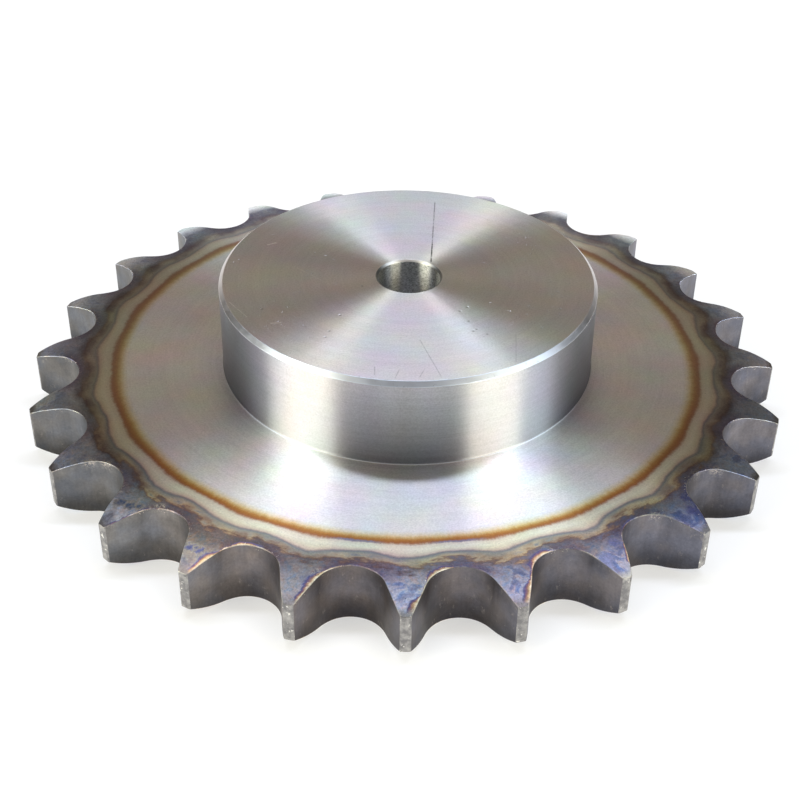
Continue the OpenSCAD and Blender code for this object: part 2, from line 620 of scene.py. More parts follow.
def bent_radius(n, at):
    """The radius that picks the tint: a point's own, less the waves, drifts and ragged edges there."""
    wave = n.times(n.math("COSINE", n.times(at.angle, float(TEETH))), n.remap(at.radius, *WAVE_REACH))
    drift = n.plus(n.swing(at.mm, *SLOW_DRIFT), n.swing(at.mm, *QUICK_DRIFT))
    drift = n.times(drift, n.remap(at.radius, *DRIFT_REACH))
    along = n.join(n.times(at.angle, PITCH_R), n.times(at.radius, HAIR_STRETCH), 0.0)
    hairs = n.times(n.swing(along, *EDGE_HAIRS), n.remap(at.radius, *HAIR_REACH))
    bent = n.plus(n.minus(at.radius, wave), n.plus(drift, hairs))
    drawn = n.centred(at.streaks(*DRAWN_STREAKS), DRAWN_REACH)
    drawn = n.times(drawn, n.remap(at.near, *DRAWN_NEAR))
    patches = n.times(n.swing(at.mm, *RAGGED_PATCHES), n.remap(at.near, *RAGGED_NEAR))
    return n.plus(bent, n.times(n.plus(drawn, patches), n.remap(bent, *RAGGED_ZONE)))


def heat_tint(n, at, bent):
    """Colour of the oxide that the hardening left on the plate, out to the foot of the teeth."""
    start, end = HEAT_TINT[0][0], HEAT_TINT[-1][0]
    stops = [((radius - start) / (end - start), color) for radius, color in HEAT_TINT]
    tint = n.ramp(n.remap(bent, start, end), stops)
    line = n.remap(n.size(n.minus(bent, BLUE_LINE_R)), *BLUE_LINE_FADE)
    for span in BLUE_LINE_TURNS:
        line = n.times(line, n.remap(n.size(at.from_near), *span))
    tint = n.mix(line, tint, BLUE_LINE)
    tint = n.mix(n.times(n.remap(at.near, *DULL_NEAR), n.remap(bent, *DULL_ZONE)), tint, DULL_TINT)
    tint = n.tinted(tint, SIDE_OXIDE, n.times(n.remap(at.near, *SIDE_NEAR), n.remap(bent, *SIDE_ZONE)))
    uneven = n.ramp(n.noise(at.mm, *UNEVEN_NOISE), UNEVEN_TINT)
    return n.tinted(tint, uneven, n.remap(bent, *UNEVEN_ZONE))


# The teeth's skin of oxide round the wheel, in degrees from the near tooth towards the right. Its levels are
# partly the oxide and partly painted light and shade, lighter or darker by how the lamps fall on each stretch
# of the wheel
SKIN_OXIDE_AND_PAINTED_LIGHT = [
    (-180, (0.38, 0.38, 0.39)),
    (-138, (0.27, 0.26, 0.26)),
    (-120, (0.64, 0.70, 0.74)),
    (-102, (0.60, 0.66, 0.76)),
    (-88, (0.43, 0.48, 0.59)),
    (-72, (0.74, 0.79, 0.78)),
    (-60, (0.62, 0.69, 0.77)),
    (-45, (0.46, 0.48, 0.51)),
    (-31, (0.26, 0.23, 0.21)),
    (-18, (0.31, 0.28, 0.28)),
    (0, (0.52, 0.51, 0.55)),
    (14, (0.41, 0.41, 0.45)),
    (29, (0.31, 0.30, 0.34)),
    (45, (0.32, 0.34, 0.43)),
    (62, (0.53, 0.59, 0.73)),
    (76, (0.44, 0.46, 0.58)),
    (90, (0.57, 0.61, 0.69)),
    (105, (0.55, 0.64, 0.74)),
    (120, (0.64, 0.71, 0.77)),
    (138, (0.27, 0.27, 0.26)),
]

# The skin's patches are pushed about, and its edge towards the plate is uneven
SKIN_WARP = (12.0, 0.09, 2.0)
SKIN_EDGE = (4.0, 0.12, 3.0)

# The skin brightens out along a tooth, between these radii
SKIN_REACH = (131.0, 148.0)
SKIN_RISE = [(0.0, 0.57), (0.3, 0.80), (0.6, 1.02), (1.0, 1.40)]

# Brown and blue stains, most of all on the near side
STAIN_NOISE = (0.4, 4.0, 0.6)
STAIN = [
    (0.36, (1.18, 0.97, 0.84)),
    (0.47, (1.00, 1.00, 1.00)),
    (0.54, (1.00, 1.00, 1.00)),
    (0.64, (0.78, 0.95, 1.12)),
]
STAIN_NEAR = (0.4, 0.8, 0.35, 1.0)

# Close to a gap's wall, the foot of a tooth is darker: painted shade in the corners of the gaps
GAP_CORNER_PAINTED_SHADE = (0.68, 0.58, 0.66)
GAP_CORNER_SHADE_DEPTH = (5.0, 0.5)
GAP_CORNER_SHADE_ZONE = (141.0, 136.0)

# How smoke changes the skin, from the thinnest (0) to the thickest (1), and how much round the wheel
SMOKE_NOISE = (0.15, 5.0, 0.62)
SMOKE = [
    (0.34, (0.32, 0.38, 0.66)),
    (0.43, (0.52, 0.60, 0.88)),
    (0.48, (0.98, 0.99, 1.08)),
    (0.56, (0.86, 0.89, 1.00)),
    (0.66, (1.12, 1.00, 0.94)),
]
SMOKE_SHARE = [(-110, 0.5), (-55, 0.5), (-40, 0.2), (-18, 0.3), (-5, 0.8), (50, 0.9), (70, 0.5)]
SMOKE_ZONE = (134.0, 140.0, 0.35, 1.0)

# Behind, the outer halves of the teeth are painted bright: a painted highlight on the far teeth
FAR_NEAR = (0.0, -0.6)
FAR_TIP_PAINTED_HIGHLIGHT = (1.02, 1.04, 1.04)
FAR_TIP_HIGHLIGHT_ZONE = (139.5, 147.0)

# Patches of thin oxide on the teeth: degrees from the near tooth, radius and reach in millimetres, how
# clear a pale fringe they have, and colour
OXIDE_PATCHES = [
    (-46.0, 142.3, 2.9, 0.7, (0.09, 0.14, 0.26)),
    (-44.3, 140.8, 2.8, 0.7, (0.10, 0.15, 0.26)),
    (-43.2, 139.2, 2.1, 0.7, (0.10, 0.15, 0.26)),
    (-31.3, 143.2, 2.6, 0.8, (0.09, 0.11, 0.30)),
    (-29.8, 143.0, 2.5, 0.8, (0.10, 0.12, 0.30)),
    (-28.4, 143.6, 2.3, 0.8, (0.10, 0.12, 0.30)),
    (-28.8, 148.0, 2.4, 0.3, (0.10, 0.12, 0.30)),
    (-45.2, 148.8, 4.4, 0.0, (0.24, 0.24, 0.28)),
    (-30.6, 149.4, 3.6, 0.0, (0.20, 0.20, 0.26)),
    (28.8, 144.0, 4.0, 0.0, (0.24, 0.27, 0.46)),
    (31.4, 139.0, 3.6, 0.0, (0.16, 0.18, 0.36)),
    (46.3, 143.5, 4.8, 0.0, (0.13, 0.14, 0.34)),
    (47.6, 138.2, 3.4, 0.0, (0.12, 0.13, 0.31)),
    (21.6, 131.5, 2.2, 0.4, (0.13, 0.18, 0.30)),
]
PATCH_FRINGE = (0.40, 0.37, 0.30)
PATCH_WARP = (6.0, 0.5, 4.0)

# Shares of a patch's reach where its fringe is full and where its own colour begins and is full
FRINGE_INNER = 0.75
PATCH_OUTER = 0.85
PATCH_INNER = 0.25
PATCH_STRENGTH = 0.9

# Oxide at a worn edge (0) and behind it, up to where the teeth's skin begins (1)
EDGE_TINT = [
    (0.00, (1.00, 0.93, 0.78)),
    (0.20, (0.88, 0.70, 0.43)),
    (0.36, (0.58, 0.36, 0.20)),
    (0.52, (0.30, 0.17, 0.20)),
    (0.76, (0.12, 0.13, 0.30)),
    (1.00, (0.20, 0.23, 0.42)),
]

# The worn edge's reach behind the wall, which side of a gap it is on, and where it gives way to the skin
RIM_REACH = (0.09, 1.0), (0.38, 0.64, 0.25, 3.1)
RIM_RAGGED = (1.0, 0.5, 4.0, 0.65)
RIM_SIDE = (2.0, -4.0)
RIM_NEAR = (0.6, 0.9)
RIM_END = (0.75, 1.0)

# Rubbed tips of the near teeth: grey levels round the wheel, hue, and how far they reach inwards
TIP_LEVEL = [
    (-180, 0.38), (-62, 0.36), (-46, 0.25), (-30, 0.27), (-15, 0.44), (0, 0.42),
    (15, 0.40), (30, 0.44), (45, 0.36), (180, 0.38),
]
TIP_HUE = (1.0, 0.96, 0.95)
TIP_EDGE = (1.5, 0.6, 3.0)
TIP_ZONE = (TIP_R - 3.2, TIP_R - 1.0)


def tooth_skin(n, at, warped, depth):
    """The teeth's skin of oxide, with its stains and smoke, and painted light and shade round the wheel and
    by the gaps' walls.
    """
    outwards = n.plus(at.radius, n.swing(warped, *SKIN_EDGE))
    rise = n.ramp(n.remap(outwards, *SKIN_REACH), greys(SKIN_RISE))
    # The skin's level round the wheel is partly oxide and partly painted light and shade
    skin = n.tinted(at.round_wheel(SKIN_OXIDE_AND_PAINTED_LIGHT), rise)
    stain = n.ramp(n.noise(warped, *STAIN_NOISE), STAIN)
    skin = n.tinted(skin, stain, n.remap(at.near, *STAIN_NEAR))
    # Painted shade: the teeth's feet are darkened close to the gaps' walls
    painted_shade_by_wall = n.times(n.remap(depth, *GAP_CORNER_SHADE_DEPTH), n.remap(outwards, *GAP_CORNER_SHADE_ZONE))
    skin = n.tinted(skin, GAP_CORNER_PAINTED_SHADE, painted_shade_by_wall)
    smoke = n.ramp(n.noise(warped, *SMOKE_NOISE), SMOKE)
    share = n.times(at.round_wheel(greys(SMOKE_SHARE)), n.remap(outwards, *SMOKE_ZONE))
    return n.tinted(skin, smoke, share)


def with_patches(n, at, skin):
    place = n.vector("ADD", at.flat, n.shake(at.mm, *PATCH_WARP))
    for angle, radius, reach, fringe, color in OXIDE_PATCHES:
        away = n.vector("DISTANCE", place, on_ring(angle, radius))
        if fringe:
            skin = n.mix(n.remap(away, reach, reach * FRINGE_INNER, 0.0, fringe), skin, PATCH_FRINGE)
        core = n.remap(away, reach * PATCH_OUTER, reach * PATCH_INNER, 0.0, PATCH_STRENGTH)
        skin = n.mix(core, skin, color)
    return skin


def tooth_tint(n, at, depth, side):
    """Colour of the oxide on the teeth: worn along one edge, and rubbed off at the near tips, with a painted
    highlight on the far teeth.
    """
    warped = n.vector("ADD", at.mm, n.shake(at.mm, *SKIN_WARP))
    far = n.remap(at.near, *FAR_NEAR)
    skin = tooth_skin(n, at, warped, depth)
    # A painted highlight over the outer halves of the far teeth
    skin = n.mix(n.times(far, n.remap(at.radius, *FAR_TIP_HIGHLIGHT_ZONE)), skin, FAR_TIP_PAINTED_HIGHLIGHT)
    skin = with_patches(n, at, skin)
    ragged = n.plus(depth, n.swing(warped, *RIM_RAGGED))
    rim = n.math("DIVIDE", ragged, n.pattern(at.mm, *RIM_REACH), clamp=True)
    rim = n.blend(n.times(n.remap(side, *RIM_SIDE), n.remap(at.near, *RIM_NEAR)), 1.0, rim)
    tint = n.mix(n.remap(rim, *RIM_END), n.ramp(rim, EDGE_TINT), skin)
    tip = n.plus(at.radius, n.swing(at.mm, *TIP_EDGE))
    tip_share = n.times(n.remap(tip, *TIP_ZONE), n.minus(1.0, far))
    return n.mix(tip_share, tint, n.tinted(at.round_wheel(greys(TIP_LEVEL)), TIP_HUE))


# Chipped corners of the gaps: degrees from the near tooth, radius and reach in millimetres
CHIPPED = [
    (-57.4, 139.5, 3.6), (-55.0, 135.4, 3.2), (-48.3, 139.6, 2.6), (-41.2, 133.4, 3.0), (-39.2, 136.3, 3.0),
    (-13.3, 138.0, 3.2), (41.0, 136.3, 2.8), (56.8, 138.5, 3.6), (54.2, 132.5, 2.6),
]
CHIPPED_INNER = 0.4
CHIPPED_DEPTH = (1.5, 4.5, 1.0, 0.0)

# The line of bright metal along an edge: its noise, how far that makes it ragged, its width and its wear
EDGE_BREAKS = (1.3, 3.0, 0.6)
LINE_RAGGED = 0.8
LINE_WIDTH = (0.50, 0.85, 1.0, 0.0)
LINE_WEAR = (0.22, 3.0)
LINE_WEAR_SPAN = (0.42, 0.60)

# Chips behind it: their zones, how a chipped corner and the depth change their number, and their cracks
CHIP_ZONES = (0.045, 1.0), (0.46, 0.55)
CHIP_GAIN = 0.07
CHIP_LOSS = 0.05
CHIP_SPAN = (0.585, 0.62)
CRACK_NOISE = (0.5, 4.0, 0.7)
CRACK_WIDTH = (0.012, 0.04, 0.75, 0.0)
CRACK_DEPTH = (1.0, 5.0, 1.0, 0.3)


def worn_edge(n, depth, at, low, high):
    """Bright metal along an edge, broken up and between these strengths, with chips behind it in places."""
    breaks = n.noise(at.mm, *EDGE_BREAKS)
    line = n.remap(n.plus(depth, n.times(breaks, LINE_RAGGED)), *LINE_WIDTH)
    line = n.times(line, n.remap(n.noise(at.mm, *LINE_WEAR), *LINE_WEAR_SPAN, low, high))
    chipped = 0.0
    for angle, radius, reach in CHIPPED:
        away = n.vector("DISTANCE", at.flat, on_ring(angle, radius))
        chipped = n.most(chipped, n.remap(away, reach * CHIPPED_INNER, reach, 1.0, 0.0))
    chipped = n.times(chipped, n.remap(depth, *CHIPPED_DEPTH))
    torn = n.minus(n.plus(breaks, n.times(chipped, CHIP_GAIN)), n.times(depth, CHIP_LOSS))
    chips = n.times(n.remap(torn, *CHIP_SPAN), n.most(n.pattern(at.mm, *CHIP_ZONES), chipped))
    veins = n.size(n.minus(n.noise(at.mm, *CRACK_NOISE), NOISE_MIDDLE))
    cracks = n.times(n.remap(veins, *CRACK_WIDTH), n.remap(depth, *CRACK_DEPTH))
    return n.most(line, n.most(chips, n.times(cracks, chipped)))


# The plate and the teeth: where the skin takes over from the tint, how worn the edges are on either side of
# a gap, and what darkens and roughens the oxide
SKIN_START = (130.8, 134.2)
WORN_RIM = (0.92, 0.85, 0.72)
WORN_LIMITS = (0.1, 0.75)
WORN_SIDE = (-3.0, 3.0, 1.0, 0.45)
WORN_ZONE = (126.0, 128.0)
WORN_ROUGHER = 0.1
OXIDE_ROUGHER = (125.0, 131.0, 0.0, 0.07)
FLECKS = (1.7, 2.0), (0.69, 0.73, 1.0, 0.45)
FLECK_ZONE = (117.0, 121.0)
MOTTLE = (0.7, 4.0, 0.7), (0.3, 0.7, 0.82, 1.16)
MOTTLE_ZONE = (127.0, 134.0)


def plate_dress(n, at):
    """Tint of the plate and teeth, and how much rougher the oxide makes them."""
    depth, side = gap_distance(n, at)
    bent = bent_radius(n, at)
    tint = n.mix(n.remap(bent, *SKIN_START), heat_tint(n, at, bent), tooth_tint(n, at, depth, side))
    worn = n.times(worn_edge(n, depth, at, *WORN_LIMITS), n.remap(side, *WORN_SIDE))
    worn = n.times(worn, n.remap(at.radius, *WORN_ZONE))
    mottle = n.blend(n.remap(at.radius, *MOTTLE_ZONE), 1.0, n.pattern(at.mm, *MOTTLE))
    shade = n.times(n.pattern(at.mm, *FLECKS), mottle)
    shade = n.blend(n.remap(at.radius, *FLECK_ZONE), 1.0, shade)
    rougher = n.plus(n.remap(at.radius, *OXIDE_ROUGHER), n.times(worn, WORN_ROUGHER))
    return n.mix(worn, tint, WORN_RIM), shade, rougher, None


# Scratches on the hub's top: both ends in millimetres, half width, and how much darker (or lighter) it is
HUB_SCRATCHES = [
    ((11.1, 63.3), (8.9, 11.3), 0.15, -0.55),
    ((9.6, 26.0), (8.9, 11.3), 0.18, -0.35),
    ((4.2, -46.8), (11.7, -70.4), 0.12, -0.32),
    ((40.4, -42.3), (39.4, -60.6), 0.10, -0.22),
    ((-12.3, -65.2), (-12.2, -70.3), 0.12, -0.30),
    ((-3.4, -66.9), (-4.8, -72.1), 0.12, -0.26),
    ((5.8, -66.0), (4.1, -71.2), 0.12, -0.26),
    ((-69.3, -22.0), (-61.5, -32.6), 0.10, 0.35),
    ((-58.0, 23.2), (-55.0, 24.9), 0.25, 0.45),
    ((-52.0, -36.9), (-48.6, -36.2), 0.20, 0.45),
    ((-46.0, 6.0), (-31.0, -8.0), 0.08, 0.16),
]
SCRATCH_FADE = 2.4
SCRATCH_BREAKS = (0.7, 3.0), (0.35, 0.55, 0.35, 1.0)

# Dents in the hub's top, in millimetres, and the small specks between them
HUB_DENTS = [
    (22.7, -22.9), (19.7, -25.9), (22.9, -33.0), (25.8, -38.6), (29.7, -41.9), (24.6, -40.0),
    (-18.5, -8.4), (-26.3, -30.2), (-29.9, -41.6), (-31.2, -45.7), (-56.3, -26.7),
]
DENT_SPAN = (0.1, 0.8, 1.0, 0.0)
DENT_DEPTH = 0.11 * MM
DENT_SHADE = 0.62
SPECKS = (0.8, 2.0), (0.68, 0.73, 0.0, 0.35)
HUB_FACE_TINT = (0.895, 0.895, 0.90)


def hub_face_dress(n, at):
    """Scratches and dents on the hub's top."""
    shade = 1.0
    for start, end, half_width, strength in HUB_SCRATCHES:
        run = Vector((end[0] - start[0], end[1] - start[1], 0))
        off = n.vector("SUBTRACT", at.flat, (*start, 0))
        share = n.times(n.vector("DOT_PRODUCT", off, tuple(run)), 1 / run.length_squared, clamp=True)
        away = n.vector("DISTANCE", off, n.scale(tuple(run), share))
        shade = n.plus(shade, n.remap(away, half_width, half_width * SCRATCH_FADE, strength, 0.0))
    shade = n.blend(n.pattern(at.mm, *SCRATCH_BREAKS), 1.0, shade)
    pits = n.pattern(at.mm, *SPECKS)
    for dent in HUB_DENTS:
        away = n.vector("DISTANCE", at.flat, (*dent, 0))
        pits = n.plus(pits, n.remap(away, *DENT_SPAN, smooth=True))
    shade = n.times(shade, n.remap(pits, 0.0, 1.0, 1.0, DENT_SHADE))
    return HUB_FACE_TINT, shade, 0.0, n.bump(n.times(pits, -1.0), DENT_DEPTH)


# Painted light and shade on the hub's side: how light it is at its foot and along its upper rim, by how much
# it faces the near side, and the heights that this changes between
SIDE_FOOT_PAINTED_SHADE = [(0.55, 0.46), (0.85, 0.64), (0.94, 0.58), (1.0, 0.44)]
SIDE_RIM_PAINTED_LIGHT = [(0.55, 0.50), (0.78, 0.72), (0.94, 0.86), (1.0, 1.05)]
SIDE_HEIGHTS = (26.0, 56.0)
SIDE_HAIRS = (1.0, 3.0, 0.6), (0.3, 0.7, 0.95, 1.05)
SIDE_HAIR_STEPS = 2.5
SIDE_TINT = (0.94, 0.95, 1.0)
SIDE_ROUGHER = 0.04


def hub_side_dress(n, at):
    """The hub's side is turned a little coarser than the faces, with painted shade towards its foot and
    painted light by how much it faces the near side.
    """
    foot, rim = n.ramp(at.near, greys(SIDE_FOOT_PAINTED_SHADE)), n.ramp(at.near, greys(SIDE_RIM_PAINTED_LIGHT))
    # Painted light and shade: darker at the foot and where the side turns away from the near side
    shade = n.blend(n.remap(at.z, *SIDE_HEIGHTS), foot, rim)
    hairs = n.pattern(n.join(at.angle, 0.0, n.times(at.z, SIDE_HAIR_STEPS)), *SIDE_HAIRS)
    return SIDE_TINT, n.times(shade, hairs), SIDE_ROUGHER, None


# The bore: torn by the drill, with painted shade on its left and painted light on its right
BORE_TORN = (1.1, 4.0, 0.75)
BORE_STRETCH = (1.0, 1.0, 1.5)
BORE_TORN_SPAN = (0.36, 0.62, 0.58, 1.32)
BORE_PAINTED_LIGHT_ACROSS = (-9.0, 9.0, 0.62, 1.32)
BORE_TINT = (0.80, 0.81, 0.81)
BORE_ROUGHER = 0.05
TURNED_RELIEF = 0.01 * MM


def bore_dress(n, at):
    """The bore is as drilled: torn and speckled, with painted shade on its left and painted light on its
    right.
    """
    torn = n.noise(at.stretched(*BORE_STRETCH), *BORE_TORN)
    # Painted shade and light across the bore, from left to right
    shade = n.times(n.remap(torn, *BORE_TORN_SPAN), n.remap(at.x, *BORE_PAINTED_LIGHT_ACROSS))
    return BORE_TINT, shade, BORE_ROUGHER, n.bump(torn, TURNED_RELIEF)


# Turning marks: fine and broad rings, the streaks drawn out along them, and the metal's grain
FINE_MARKS = (3.2, 2.0, 0.6, "1D")
BROAD_MARKS = (0.35, 3.0, 0.6, "1D")
BROAD_SPAN = (0.3, 0.7, 0.975, 1.025)
BROAD_BUMP = 0.6
TURNED_STREAKS = (16.0, 3.0, 2.0, 0.6)
STREAK_SPAN = (0.25, 0.75, 0.95, 1.05)
STREAK_ROUGH = (0.3, 0.7, 0.305, 0.355)
GRAIN = (1.4, 4.0, 0.75)
GRAIN_SPAN = (0.25, 0.75, 0.83, 1.17)
GRAIN_BUMP = 0.55
SIDE_GRAIN_BUMP = 0.15
TURNED_SPREAD = 1.0

# The faint rainbow that cutting oil leaves; the plate and the hub's top show more of it
OIL_FILM = (0.055, 2.0)
OIL_LIFT = 2.0
OIL_SHARE = 0.08
FACE_OIL_SHARE = 0.15


def turned_steel(name, dress, oil_share=OIL_SHARE, grain_bump=GRAIN_BUMP):
    """Steel with lathe marks. The dressing gives the tint, a shade, extra roughness and a bent normal."""
    n = Nodes(bpy.data.materials.new(name))
    at = Places(n)
    tint, shade, rougher, bent_normal = dress(n, at)
    broad = n.noise(at.along, *BROAD_MARKS)
    streaks = at.streaks(*TURNED_STREAKS)
    grain = n.noise(at.mm, *GRAIN)
    for noise, span in ((broad, BROAD_SPAN), (streaks, STREAK_SPAN), (grain, GRAIN_SPAN)):
        shade = n.times(shade, n.remap(noise, *span))
    color = n.tinted(n.tinted(STEEL, tint), shade)
    color = n.tinted(color, n.scale(n.noise_color(at.mm, *OIL_FILM), OIL_LIFT), oil_share)
    marks = n.plus(n.noise(at.along, *FINE_MARKS), n.times(broad, BROAD_BUMP))
    marks = n.plus(marks, n.times(grain, grain_bump))
    roughness = n.plus(n.remap(streaks, *STREAK_ROUGH), rougher)
    return n.metal(color, roughness, n.bump(marks, TURNED_RELIEF, bent_normal), TURNED_SPREAD)


# Bright cuts: colours away from the near side and on it, the bluer one a painted reflection hue, and of the
# nicks.
# The bore's chamfer is bright on its far stretch and painted dark elsewhere, as painted shade.
CUT_AWAY = (0.82, 0.77, 0.75)
CUT_NEAR_PAINTED_REFLECTION = (0.71, 0.77, 0.88)
FACING_NEAR = (0.35, 0.75)
NICK_COLOR = (0.42, 0.46, 0.54)
NICKS = (0.8, 4.0, 0.7), (0.62, 0.70)
NICKS_NEAR = (0.6, 0.9, 0.2, 1.0)
CUT_BORE_FAR = (0.80, 0.79, 0.78)
CUT_BORE_PAINTED_SHADE = (0.24, 0.24, 0.23)
CUT_PAINTED_SHADE_NEAR = (-0.85, -0.45, 0.0, 0.94)
CUT_CLOUD = (0.25, 3.0)
CUT_ROUGH = (0.3, 0.7, 0.31, 0.39)
CUT_SPREAD = 0.3
CUT_RELIEF = 0.02 * MM


def bright_cut():
    """The chamfers and the corner at the hub's foot: a last fine cut, with small nicks, a painted reflection
    hue where they face the near side, and painted shade on the bore's chamfer away from its far stretch.
    """
    n = Nodes(bpy.data.materials.new("bright_cut"))
    at = Places(n)
    nicks = n.times(n.pattern(at.mm, *NICKS), n.remap(at.near, *NICKS_NEAR))
    # Painted reflection: the cut turns bluer where it faces the near side
    color = n.mix(n.remap(at.near, *FACING_NEAR), CUT_AWAY, CUT_NEAR_PAINTED_REFLECTION)
    color = n.mix(nicks, color, NICK_COLOR)
    by_bore = n.math("LESS_THAN", at.radius, 2 * BORE_R)
    color = n.mix(by_bore, color, CUT_BORE_FAR)
    # Painted shade: the bore's chamfer is dark except on its far stretch
    color = n.mix(n.times(by_bore, n.remap(at.near, *CUT_PAINTED_SHADE_NEAR)), color, CUT_BORE_PAINTED_SHADE)
    cloud = n.noise(at.mm, *CUT_CLOUD)
    bump = n.bump(n.minus(cloud, nicks), CUT_RELIEF)
    return n.metal(color, n.remap(cloud, *CUT_ROUGH), bump, CUT_SPREAD)


# Hobbed walls: how bright their dark skin is by height, darker towards the foot as painted shade, and round
# the wheel, lighter or darker as painted light and shade
WALL_SKIN_AND_FOOT_SHADE = (1.0, 17.0, 0.085, 0.205)
WALL_PAINTED_LIGHT_ROUND = [
    (-180, 0.92), (-90, 0.90), (-66, 0.92), (-50, 1.02), (-36, 1.16), (-15, 0.82), (0, 0.74),
    (15, 0.80), (36, 1.02), (50, 0.80), (62, 0.74), (72, 1.00), (84, 0.90), (180, 0.92),
]

# The walls' clouds, grain and feed streaks along the axis
WALL_CLOUD = (0.12, 3.0), (0.3, 0.7, 0.78, 1.20)
WALL_GRAIN = (1.1, 4.0, 0.65)
WALL_GRAIN_SPAN = (0.3, 0.7, 0.86, 1.14)
FEED_STREAKS = (0.9, 3.0)
FEED_STRETCH = (1.0, 1.0, 0.12)
FEED_SPAN = (0.3, 0.7, 0.94, 1.06)
WALL_ROUGH = (0.3, 0.7, 0.40, 0.50)
WALL_RELIEF = 0.02 * MM

# Their hue from left to right across the wheel, and in brown and blue clouds
WALL_ACROSS = (-100.0, 100.0)
WALL_HUE = [
    (0.00, (0.98, 1.01, 1.00)),
    (0.30, (1.09, 0.99, 0.96)),
    (0.55, (1.03, 0.98, 1.01)),
    (1.00, (0.97, 0.98, 1.08)),
]
WALL_HUE_NOISE = (0.09, 2.0)
WALL_HUE_CLOUDS = [(0.37, (1.09, 1.00, 0.96)), (0.63, (0.98, 0.98, 1.08))]

# Scuffs, and the bright metal that they and the worn upper edge bare
SCUFFS = (0.4, 6.0, 0.72), (0.60, 0.72, 0.0, 0.3)
SCUFF_STRETCH = (1.0, 1.0, 0.6)
WALL_WORN_LIMITS = (0.0, 0.5)
WALL_WORN = (0.55, 0.49, 0.43)


def depth_below_face(n, at):
    """How far a point of a wall lies below the face's edge above it."""
    run = n.most(n.minus(at.radius, RELIEF_START_R), 0.0)
    drop = n.math("SQRT", n.minus(RELIEF_R ** 2, n.times(run, run)))
    return n.minus(n.plus(drop, PLATE_T - RELIEF_R), at.z)


def hobbed_steel():
    """The gaps' walls: a dark skin with feed streaks along the axis, worn bright along its upper rim, with
    painted shade towards the foot and painted light and shade round the wheel.
    """
    n = Nodes(bpy.data.materials.new("hobbed_steel"))
    at = Places(n)
    grain = n.noise(at.mm, *WALL_GRAIN)
    streak = n.noise(at.stretched(*FEED_STRETCH), *FEED_STREAKS)
    # Painted shade and light: the walls are darker towards their foot and lighter or darker round the wheel
    level = n.remap(at.z, *WALL_SKIN_AND_FOOT_SHADE, smooth=True)
    level = n.times(level, at.round_wheel(greys(WALL_PAINTED_LIGHT_ROUND)))
    level = n.times(level, n.pattern(at.mm, *WALL_CLOUD))
    level = n.times(level, n.remap(grain, *WALL_GRAIN_SPAN))
    level = n.times(level, n.remap(streak, *FEED_SPAN))
    hue = n.ramp(n.noise(at.mm, *WALL_HUE_NOISE), WALL_HUE_CLOUDS)
    hue = n.tinted(hue, n.ramp(n.remap(at.x, *WALL_ACROSS), WALL_HUE))
    scuffs = n.pattern(at.stretched(*SCUFF_STRETCH), *SCUFFS)
    worn = n.most(scuffs, worn_edge(n, depth_below_face(n, at), at, *WALL_WORN_LIMITS))
    color = n.mix(worn, n.tinted(hue, level), WALL_WORN)
    return n.metal(color, n.remap(grain, *WALL_ROUGH), n.bump(n.plus(grain, streak), WALL_RELIEF))


# The tips: greys by how thick the clouds are, and bright specks
LAND_CLOUD = (0.35, 4.0, 0.6)
LAND_GREYS = [
    (0.38, (0.23, 0.22, 0.22)),
    (0.55, (0.38, 0.365, 0.35)),
    (0.68, (0.50, 0.48, 0.46)),
]
LAND_SPECKS = (0.55, 3.0, 0.6), (0.63, 0.68)
SPECK_COLOR = (0.90, 0.87, 0.80)
LAND_ROUGH = (0.3, 0.7, 0.40, 0.52)
LAND_RELIEF = 0.03 * MM


def worn_land():
    """The narrow tips of the teeth: rubbed grey, with a few bright specks."""
    n = Nodes(bpy.data.materials.new("worn_land"))
    at = Places(n)
    cloud = n.noise(at.mm, *LAND_CLOUD)
    specks = n.pattern(at.mm, *LAND_SPECKS)
    color = n.mix(specks, n.ramp(cloud, LAND_GREYS), SPECK_COLOR)
    return n.metal(color, n.remap(cloud, *LAND_ROUGH), n.bump(n.plus(cloud, specks), LAND_RELIEF))


def steel_materials():
    return [
        turned_steel("tinted_plate", plate_dress, FACE_OIL_SHARE),
        hobbed_steel(),
        worn_land(),
        turned_steel("hub_face", hub_face_dress, FACE_OIL_SHARE),
        turned_steel("hub_side", hub_side_dress, grain_bump=SIDE_GRAIN_BUMP),
        bright_cut(),
        turned_steel("drilled_bore", bore_dress),
    ]


# Studio

# The floor is grey for the light on it and glows only for the camera and in mirrors, but not below the bore
FLOOR_COLOR = (0.5, 0.5, 0.5)
FLOOR_LIFT = 0.53
FLOOR_HALF = 6.0


def plain_floor():
    n = Nodes(bpy.data.materials.new("pale_floor"))
    matt = n.add("ShaderNodeBsdfDiffuse", {"Color": (*FLOOR_COLOR, 1)})
    path = n.add("ShaderNodeLightPath")
    seen = n.most(path.outputs["Is Camera Ray"], path.outputs["Is Glossy Ray"])
    seen = n.most(seen, path.outputs["Is Transmission Ray"])
    place = n.add("ShaderNodeTexCoord").outputs["Object"]
    outside = n.math("GREATER_THAN", n.vector("LENGTH", place), BORE_R * MM)
    glow = n.add("ShaderNodeEmission", {"Strength": n.times(n.times(seen, outside), FLOOR_LIFT)})
    return n.finish(n.add("ShaderNodeAddShader", (matt.outputs[0], glow.outputs[0])).outputs[0])


def add_panel(name, corners, material):
    """A flat four-cornered piece of the studio."""
    mesh = bpy.data.meshes.new(name)
    mesh.from_pydata(corners, [], [(0, 1, 2, 3)])
    mesh.materials.append(material)
    panel = add_object(name, mesh)
    return panel


def add_floor():
    half = FLOOR_HALF
    corners = [(-half, -half, 0), (half, -half, 0), (half, half, 0), (-half, half, 0)]
    add_panel("floor", corners, plain_floor())


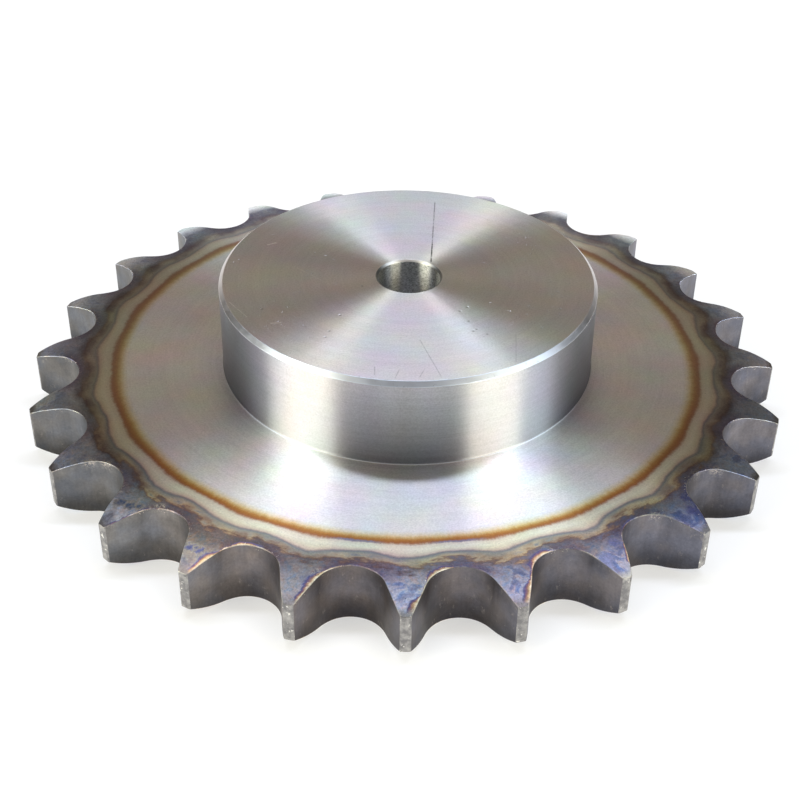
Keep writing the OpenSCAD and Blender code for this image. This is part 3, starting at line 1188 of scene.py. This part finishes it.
# Softboxes as seen from the sprocket: azimuth from the near side, positive to the right, elevation, how wide
# and how tall they look, all in degrees, then their radiance and colour
LIGHT_DISTANCE = 2.4
LIGHT_AIM_Z = 0.04
SOFTBOXES = [
    ("left_box", -61.0, 15, 41.4, 29, 4.8, (0.99, 1.0, 0.87)),
    ("left_mid", -64, 36, 24, 14, 4.8, (1.0, 0.92, 0.66)),
    ("left_high", -83, 55, 20, 20, 0.8, (0.9, 1.0, 0.7)),
    ("left_far", -108, 50, 24, 20, 1.3, (0.6, 0.78, 1.0)),
    ("right_box", 49.6, 11, 33.8, 21, 5.3, (0.99, 1.0, 0.91)),
    ("right_mid", 52.5, 29, 26, 14, 4.9, (1.0, 0.92, 0.6)),
    ("right_low", 80.3, 22, 19, 30, 1.9, (0.84, 0.94, 1.0)),
    ("right_high", 101, 54, 32, 27, 1.6, (0.6, 0.8, 1.0)),
    ("top_strip", 181, 75, 51, 6, 17.2, (0.75, 0.82, 1.0)),
]


def half_size(distance, across):
    """Half the size of what looks this many degrees across at this distance."""
    return distance * math.tan(math.radians(across / 2))


def add_softbox(name, azimuth, elevation, across, up, radiance, color):
    """A rectangular area light that faces the sprocket."""
    way = way_to(azimuth, elevation)
    data = bpy.data.lights.new(name, "AREA")
    data.shape = "RECTANGLE"
    data.size = 2 * half_size(LIGHT_DISTANCE, across)
    data.size_y = 2 * half_size(LIGHT_DISTANCE, up)
    data.energy = radiance * data.size * data.size_y * math.pi
    data.color = color
    light = add_object(name, data)
    light.location = way * LIGHT_DISTANCE + Vector((0, 0, LIGHT_AIM_Z))
    light.rotation_euler = way.to_track_quat("Z", "Y").to_euler()
    light.visible_camera = False


# A dim grey screen in front and dark cards at the sides, which keep the metal's contrast and which the
# camera doesn't see: azimuth, angle across and height in metres
CARD_DISTANCE = 1.9
FRONT_SCREEN = ("front_screen", -3, 66, 2.6)
SCREEN_COLOR = (0.85, 0.92, 1.0)
SCREEN_GLOW = 0.22
DARK_CARDS = [
    ("left_card", -117, 40, 1.4),
    ("right_card", 122, 50, 1.5),
]
FELT_COLOR = (0.05, 0.05, 0.052)
WORLD_COLOR = (1.0, 0.87, 0.73)
WORLD_STRENGTH = 0.345


def add_card(name, azimuth, across, height, material):
    out = way_to(azimuth) * CARD_DISTANCE
    side = way_to(azimuth + 90) * half_size(CARD_DISTANCE, across)
    up = Vector((0, 0, height))
    card = add_panel(name, [out - side, out + side, out + side + up, out - side + up], material)
    card.visible_camera = False


def dark_felt():
    n = Nodes(bpy.data.materials.new("dark_felt"))
    return n.finish(n.add("ShaderNodeBsdfDiffuse", {"Color": (*FELT_COLOR, 1)}).outputs[0])


def grey_screen():
    n = Nodes(bpy.data.materials.new("grey_screen"))
    glow = n.add("ShaderNodeEmission", {"Color": (*SCREEN_COLOR, 1), "Strength": SCREEN_GLOW})
    return n.finish(glow.outputs[0])


def add_studio():
    for box in SOFTBOXES:
        add_softbox(*box)
    add_card(*FRONT_SCREEN, grey_screen())
    felt = dark_felt()
    for card in DARK_CARDS:
        add_card(*card, felt)
    n = Nodes(bpy.data.worlds.new("studio"))
    background = n.add("ShaderNodeBackground", {"Color": (*WORLD_COLOR, 1), "Strength": WORLD_STRENGTH})
    bpy.context.scene.world = n.finish(background.outputs[0], "ShaderNodeOutputWorld")
    bpy.context.scene.view_settings.view_transform = "Standard"


add_camera()
sprocket = add_mesh("sprocket_body", build_sprocket())
for material in steel_materials():
    sprocket.data.materials.append(material)
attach(sprocket, "root")
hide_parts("sprocket")
add_floor()
add_studio()
